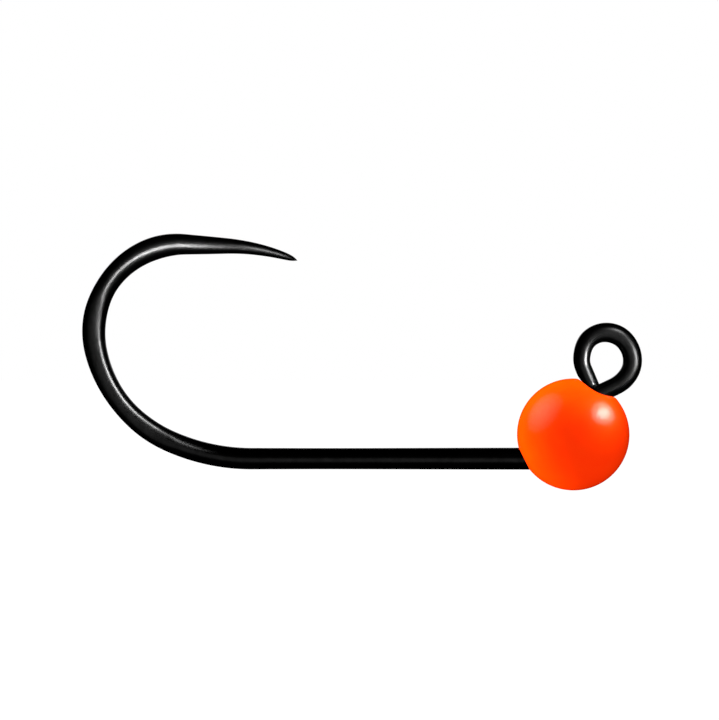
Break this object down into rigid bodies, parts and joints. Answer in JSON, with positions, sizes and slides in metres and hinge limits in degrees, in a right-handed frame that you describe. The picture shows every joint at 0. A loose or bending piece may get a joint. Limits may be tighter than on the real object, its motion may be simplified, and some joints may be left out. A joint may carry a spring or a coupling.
{
  "type": "jig head",
  "caption": "Barbless jig hook with a fluorescent orange ball head fixed over the angled leg below its ring eye.",
  "frame": {"origin": "centre of the line eye, on the hook's mid-plane", "axes": "+X along the shank from the bend towards the eye, +Z from the shank towards the point, +Y across the hook"},
  "size_m": [0.0199, 0.004, 0.0091],
  "materials": {
    "black_nickel_wire": "gloss",
    "tungsten": "satin",
    "epoxy": "gloss",
    "white_ground": "matte",
    "orange_paint": "gloss"
  },
  "bodies": {
    "root": {"hook": "black_nickel_wire", "bead": "tungsten", "slot_fill": "epoxy", "base_coat": "white_ground", "colour_coat": "orange_paint"}
  },
  "joints": []
}
